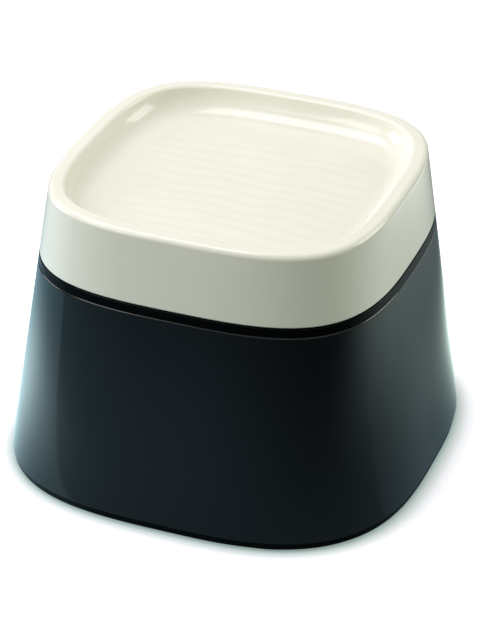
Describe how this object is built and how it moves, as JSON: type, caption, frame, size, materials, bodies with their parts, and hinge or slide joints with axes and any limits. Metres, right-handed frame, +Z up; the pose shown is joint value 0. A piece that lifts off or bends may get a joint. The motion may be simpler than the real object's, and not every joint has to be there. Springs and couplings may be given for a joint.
{
  "type": "cat feeding station",
  "caption": "Raised cat feeding station: a shallow rippled food tray with a rounded-square rim that lifts off a tapered glossy pedestal on rubber feet.",
  "frame": {"origin": "middle of the rest plane, under the four feet", "axes": "+Z up, +Y from the front to the back, +X to the right as seen from the front"},
  "size_m": [0.2198, 0.2198, 0.1565],
  "materials": {
    "ivory_glaze": "clear gloss glaze over warm ivory stoneware",
    "anthracite_gloss": "high gloss, very dark grey",
    "black_gloss": "gloss black moulding",
    "black_satin": "satin black moulding",
    "soft_rubber": "soft matte rubber",
    "foot_rubber": "matte rubber",
    "screw_steel": "bright zinc-plated steel"
  },
  "bodies": {
    "base": {"tray_carrier": "black_gloss", "base_shell": "anthracite_gloss", "bottom_plate": "black_satin", "plate_screws": "screw_steel", "tray_pad_front": "soft_rubber", "tray_pad_back": "soft_rubber", "tray_pad_left": "soft_rubber", "tray_pad_right": "soft_rubber", "foot_front_left": "foot_rubber", "foot_front_right": "foot_rubber", "foot_back_left": "foot_rubber", "foot_back_right": "foot_rubber"},
    "tray": {"food_tray": "ivory_glaze"}
  },
  "joints": [
    {"name": "tray_lift", "type": "slide", "parent": "base", "child": "tray", "axis": [0, 0, 1], "range_m": [0, 0.06]}
  ]
}
